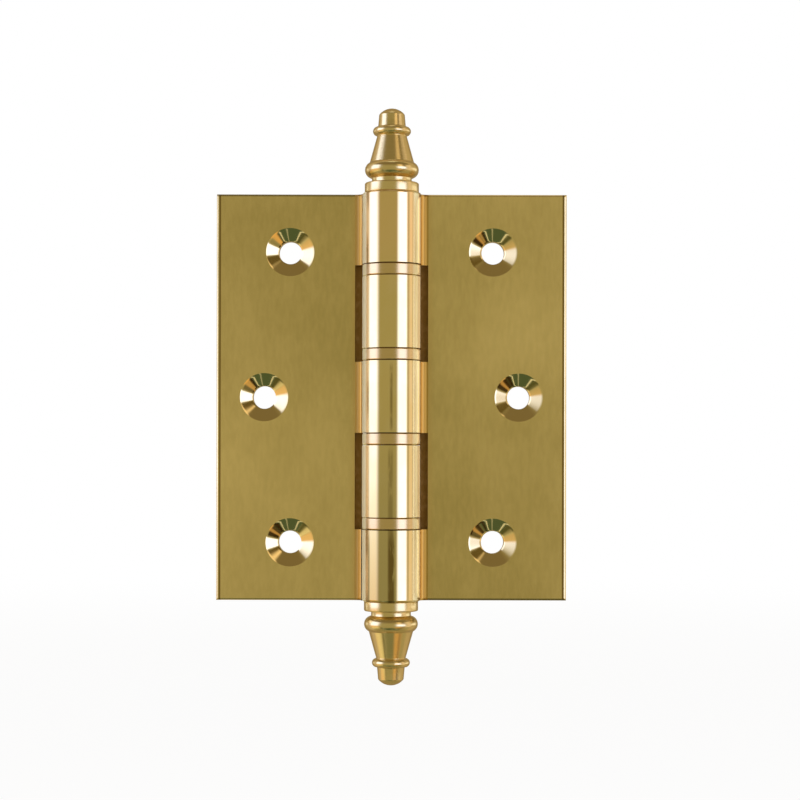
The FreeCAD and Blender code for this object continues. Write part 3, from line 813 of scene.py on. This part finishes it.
def finial(name):
    """A finial turned about the pin: spigot, collar, neck, bead, cone, ring and crowned knob.

    The crown is part of a ball whose radius is (knob radius squared + crown squared) / (2 crown).
    """
    bead_low = -math.degrees(math.acos((NECK_RADIUS - BEAD[0]) / BEAD_ROLL))
    bead_high = math.degrees(math.acos((CONE_BASE - BEAD[0]) / BEAD_ROLL))
    ball = (KNOB_RADIUS**2 + KNOB_CROWN**2) / (2 * KNOB_CROWN)
    ball_level = KNOB_LEVEL + KNOB_CROWN - ball
    dome_low = math.degrees(math.asin((KNOB_LEVEL - ball_level) / ball))
    collar_round = (COLLAR_RADIUS - COLLAR_ROUND, COLLAR_HEIGHT - COLLAR_ROUND)
    profile = np.concatenate(
        (
            [(SPIGOT_RADIUS, -SPIGOT_LENGTH), (SPIGOT_RADIUS, 0), (COLLAR_RADIUS, 0)],
            arc(collar_round, COLLAR_ROUND, 0, 90, FILLET_STEPS),
            [(NECK_RADIUS, COLLAR_HEIGHT)],
            arc(BEAD, BEAD_ROLL, bead_low, bead_high, BEAD_STEPS),
            arc(RING, RING_ROLL, -90, 90, COVE_STEPS),
            [(KNOB_BASE, RING[1] + RING_ROLL)],
            arc((0, ball_level), ball, dome_low, DOME_END, COVE_STEPS),
        )
    )
    return turned(name, profile + (0, HALF_HEIGHT), FINIAL)


def hanging_finial(name):
    """The same finial at the barrel's lower end, turned half round about X."""
    piece = finial(name)
    put_points(piece, points_of(piece) * HALF_TURN_ABOUT_X)
    return piece


def dress(piece, node, body):
    """Let a piece stand for a solid and ride on its body."""
    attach(piece, body)
    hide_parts(node)


pieces = [
    (three_knuckle_leaf(), "three_knuckle_leaf", "frame_leaf", "leaf_brass"),
    (two_knuckle_leaf(), "two_knuckle_leaf", "door_leaf", "leaf_brass"),
    (finial("turned_top_finial"), "top_finial", "frame_leaf", "finial_brass"),
    (hanging_finial("turned_bottom_finial"), "bottom_finial", "frame_leaf", "finial_brass"),
]
for number in range(1, WASHERS + 1):
    pieces.append((washer(number), f"washer_{number}", f"washer_{number}", "washer_brass"))
for piece, node, body, slot in pieces:
    finish_edges(piece)
    dress(piece, node, body)

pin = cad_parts["hinge_pin"]
pin.data.materials.clear()
pin.data.materials.append(PIN)


class Panel(NamedTuple):
    """A soft-edged panel of the studio: its span of turn and of rise, the blur of each, and its colour."""

    turn: tuple
    turn_blur: float
    rise: tuple
    rise_blur: float
    colour: tuple


# The studio as the metal sees it, in degrees of turn and rise, with the brightness of each colour
ROOM = (0.41, 0.365, 0.185, 1)
CEILING = (0.22, 0.17, 0.08, 1)
CEILING_RISE = (20, 46)
TOP_LIGHT = (0.9, 0.85, 0.7, 1)
TOP_LIGHT_RISE = (74, 84)
WALL = Panel((64, 100), 4, (-20, 32), 4, (0.95, 0.78, 0.60, 1))
POST = (0.50, 0.42, 0.28, 1)
POSTS = (
    Panel((66, 74), 2, (-6, 20), 3, POST),
    Panel((90, 95), 2, (-6, 20), 3, POST),
)
POST_SHARE = 0.85
LEFT_WALL = (0.60, 0.50, 0.36, 1)
LEFT_WALL_TURN = (-92, -104)

# Behind the hinge
BACKDROP = (1.25, 1.2, 1.1, 1)
BACKDROP_RISE = (-6, 8)
BACKDROP_BLUR = 3
SIDE_WALL = (0.55, 0.44, 0.25, 1)
RIGHT_BACK_TURN = (93, 98)
LEFT_BACK_TURN = (-116, -126)
BEHIND = (0.36, 0.28, 0.15, 1)
BEHIND_TURN = (126, 140)

# Below the hinge
BELOW = (0.34, 0.29, 0.14, 1)
BELOW_RISE = (-40, -60)
DEEP_BELOW_RISE = (-63, -73)
GROUND = (0.085, 0.12, 0.06, 1)
GROUND_RISE = (-29, -43)
GROUND_TURN = (54, 46)
GLINT = (1.05, 1.0, 0.75, 1)
GLINT_RISE = (-72, -66)
GLINT_FADE = 4
GLINT_BLUR = 1.5

# Above and below the right box, and the low corner at left
OVER_BOX = Panel((49, 64), 3, (16, 36), 3, (0.14, 0.10, 0.03, 1))
WING = Panel((27, 50), 3, (13, 40), 4, (1.1, 0.84, 0.5, 1))
UNDER_BOX_LEAN = 0.3
UNDER_BOX = Panel((58.5, 68.5), 3, (-45, -17), 3, (0.04, 0.022, 0.006, 1))
UNDER_BOX_FOOT = Panel((37, 45), 2, (-54, -40), 2, UNDER_BOX.colour)
SPILL = Panel((20, 46), 3, (-39, -23), 3, (0.85, 0.50, 0.17, 1))
FAR_SPILL = Panel((46, 68), 3, (-35, -28), 2, SPILL.colour)
FAR_SPILL_SHARE = 0.6
LOW_CORNER = Panel((-55, -42), 3, (-46, -26), 3, (0.10, 0.10, 0.035, 1))

# The soft boxes: where each starts and ends
BOX = (1.65, 1.8, 2.7, 1)
LEFT_BOX_START = (-104, -93)
LEFT_BOX_END = (-46, -66)
LEFT_BOX_FOOT = (-9, 0)
LEFT_BOX_TOP = (37, 32)
BOX_FOOT = (1.0, 0.68, 0.34, 1)
BOX_FOOT_RISE = (-24, -2)
FOOT_GLOW = (1.0, 0.88, 0.52, 1)
FOOT_GLOW_RISE = (-36, -24)
FOOT_BLUR = 3
RIGHT_BOX_START = (18, 31)
RIGHT_BOX_END = (66, 59)
RIGHT_BOX_RISE = (-13, 13)
RIGHT_BOX_BLUR = 2

WHITE = (1.0, 1.0, 1.0, 1)
LIGHT_MAP_SIZE = 1024

# The floor: how far it lies below the lower finial, how far it reaches, and how much of it is plain white
FLOOR_GAP = 0.3 * MM
FLOOR_REACH = 4.0
FLOOR_PAINT = (0.9, 0.9, 0.9, 1)
FLOOR_WHITE = 0.95
FLOOR_FADE = (60, 400)


class Studio:
    """The room's colour by direction, painted layer by layer on the world's sheet.

    Turn is the angle from the camera's side round to the right, and rise the angle above the horizon, both
    in degrees.
    """

    def __init__(self, world):
        self.sheet = Sheet(world)
        direction = self.sheet.node("ShaderNodeTexCoord", {}, {}, outlet="Generated")
        right, away, up = self.sheet.axes(direction)
        self.turn = self.sheet.math("ARCTAN2", right, 0 - away) * math.degrees(1)
        self.rise = self.sheet.math("ARCSINE", up) * math.degrees(1)
        self.wide = self.sheet.size(self.turn)
        self.colour = ROOM

    def paint(self, cover, colour):
        """Lay a colour over what is there, where the cover is 1."""
        self.colour = self.sheet.mix(cover, self.colour, colour)

    def cover(self, panel, lean=0):
        """1 inside a panel and 0 outside; its turn grows by the lean for each degree of rise."""
        turn = self.turn - lean * self.rise if lean else self.turn
        beside = self.sheet.window(turn, panel.turn, panel.turn_blur)
        return beside * self.sheet.window(self.rise, panel.rise, panel.rise_blur)

    def hang(self, panel, strength=1.0):
        """Hang up a panel."""
        self.paint(strength * self.cover(panel), panel.colour)


def paint_room(studio):
    """Ceiling, walls with two posts at right, the pale backdrop behind the hinge, and the dim ground."""
    sheet, turn, rise = studio.sheet, studio.turn, studio.rise
    studio.paint(sheet.ease(rise, *CEILING_RISE), CEILING)
    studio.hang(WALL)
    for post in POSTS:
        studio.hang(post, POST_SHARE)
    studio.paint(sheet.ease(turn, *LEFT_WALL_TURN), LEFT_WALL)
    back = sheet.mix(sheet.window(rise, BACKDROP_RISE, BACKDROP_BLUR), SIDE_WALL, BACKDROP)
    studio.paint(sheet.ease(turn, *RIGHT_BACK_TURN), back)
    studio.paint(sheet.ease(turn, *LEFT_BACK_TURN), back)
    studio.paint(sheet.ease(studio.wide, *BEHIND_TURN), BEHIND)
    studio.paint(sheet.ease(rise, *TOP_LIGHT_RISE), TOP_LIGHT)
    studio.paint(sheet.ease(rise, *BELOW_RISE), BELOW)
    studio.paint(sheet.ease(rise, *GROUND_RISE) * sheet.ease(studio.wide, *GROUND_TURN), GROUND)
    studio.paint(sheet.ease(rise, *DEEP_BELOW_RISE), BELOW)


def paint_corners(studio):
    """What stands above and below the right box, and the low corner at left."""
    sheet = studio.sheet
    studio.hang(OVER_BOX)
    studio.hang(WING)
    dark = studio.cover(UNDER_BOX, UNDER_BOX_LEAN) + studio.cover(UNDER_BOX_FOOT)
    studio.paint(sheet.math("MINIMUM", dark, 1.0), UNDER_BOX.colour)
    spill = studio.cover(SPILL) + FAR_SPILL_SHARE * studio.cover(FAR_SPILL)
    studio.paint(spill, SPILL.colour)
    studio.hang(LOW_CORNER)


def paint_glint(studio, middle, half, top, strength):
    """A thin bright line down the ground: the turn of its middle, half its width, and the rise of its top."""
    sheet = studio.sheet
    line = sheet.window(studio.turn, (middle - half, middle + half), GLINT_BLUR)
    line = line * sheet.ease(studio.rise, top + GLINT_FADE, top)
    studio.paint(strength * line * sheet.ease(studio.rise, *GLINT_RISE), GLINT)


def paint_boxes(studio):
    """A tall soft box at left with a warm foot, and a low one at right."""
    sheet, turn, rise = studio.sheet, studio.turn, studio.rise
    left = sheet.ease(turn, *LEFT_BOX_START) * sheet.ease(turn, *LEFT_BOX_END)
    studio.paint(left * sheet.window(rise, FOOT_GLOW_RISE, FOOT_BLUR), FOOT_GLOW)
    studio.paint(left * sheet.window(rise, BOX_FOOT_RISE, FOOT_BLUR), BOX_FOOT)
    studio.paint(left * sheet.ease(rise, *LEFT_BOX_FOOT) * sheet.ease(rise, *LEFT_BOX_TOP), BOX)
    right = sheet.ease(turn, *RIGHT_BOX_START) * sheet.ease(turn, *RIGHT_BOX_END)
    studio.paint(right * sheet.window(rise, RIGHT_BOX_RISE, RIGHT_BOX_BLUR), BOX)


def light_studio():
    """A dim room with a soft box on each side, a light overhead and a pale backdrop behind the hinge.

    The metal and the floor see this room; the camera sees plain white instead.
    """
    world = bpy.data.worlds.new("studio")
    bpy.context.scene.world = world
    studio = Studio(world)
    paint_room(studio)
    paint_corners(studio)
    paint_glint(studio, middle=-39, half=1.5, top=-36, strength=0.9)
    paint_glint(studio, middle=8, half=2.5, top=-50, strength=0.35)
    paint_glint(studio, middle=32, half=1.5, top=-44, strength=0.9)
    paint_boxes(studio)
    sheet = studio.sheet
    seen = sheet.node("ShaderNodeLightPath", {}, {}, outlet="Is Camera Ray")
    studio.paint(seen, WHITE)
    glow = sheet.node("ShaderNodeBackground", {}, {"Color": studio.colour, "Strength": 1.0})
    sheet.node("ShaderNodeOutputWorld", {}, {"Surface": glow})
    world.cycles.sampling_method = "MANUAL"
    world.cycles.sample_map_resolution = LIGHT_MAP_SIZE


def pale_floor():
    """The floor's finish: mostly its own white, with some of the shadow left.

    The metal's reflections look through it into the studio.
    """
    material = bpy.data.materials.new("pale_floor")
    sheet = Sheet(material)
    seen = sheet.node("ShaderNodeLightPath", {}, {}, outlet="Is Camera Ray")
    mirrored = sheet.node("ShaderNodeLightPath", {}, {}, outlet="Is Glossy Ray")
    paint = sheet.node("ShaderNodeBsdfDiffuse", {}, {"Color": FLOOR_PAINT})
    white = sheet.node("ShaderNodeEmission", {}, {"Color": WHITE, "Strength": 1.0})
    clear = sheet.node("ShaderNodeBsdfTransparent", {}, {"Color": WHITE})
    away = sheet.node("ShaderNodeVectorMath", {"operation": "LENGTH"}, {0: sheet.place()}, outlet="Value")
    cover = FLOOR_WHITE + (1 - FLOOR_WHITE) * sheet.ease(away, *FLOOR_FADE)
    both = sheet.node("ShaderNodeMixShader", {}, {0: seen * cover, 1: paint, 2: white})
    surface = sheet.node("ShaderNodeMixShader", {}, {0: mirrored, 1: both, 2: clear})
    sheet.node("ShaderNodeOutputMaterial", {}, {"Surface": surface})
    return material


def lay_floor():
    """A square floor just under the lower finial."""
    level = cad_box[0].z - FLOOR_GAP
    signs = ((-1, -1), (1, -1), (1, 1), (-1, 1))
    corners = [(FLOOR_REACH * across, FLOOR_REACH * through, level) for across, through in signs]
    mesh = bpy.data.meshes.new("floor")
    mesh.from_pydata(corners, [], [(0, 1, 2, 3)])
    mesh.materials.append(pale_floor())
    floor = bpy.data.objects.new("floor", mesh)
    bpy.context.scene.collection.objects.link(floor)


def set_camera():
    """The camera stands in front of the barrel, a little below its middle, and looks straight along +Y."""
    lens = bpy.data.cameras.new("camera")
    lens.sensor_width = SENSOR
    lens.lens = FOCAL_PIXELS * SENSOR / PHOTO_SIZE
    lens.shift_x = 0.5 - CENTRE_PIXEL[0] / PHOTO_SIZE
    lens.shift_y = CENTRE_PIXEL[1] / PHOTO_SIZE - 0.5
    lens.clip_start = NEAREST_SEEN
    camera = bpy.data.objects.new("camera", lens)
    camera.location = (0, -CAMERA_AWAY, -CAMERA_DROP)
    camera.rotation_euler = (math.radians(90), math.radians(CAMERA_ROLL), 0)
    bpy.context.scene.collection.objects.link(camera)
    bpy.context.scene.camera = camera


light_studio()
lay_floor()
set_camera()
bpy.context.scene.view_settings.view_transform = "Standard"
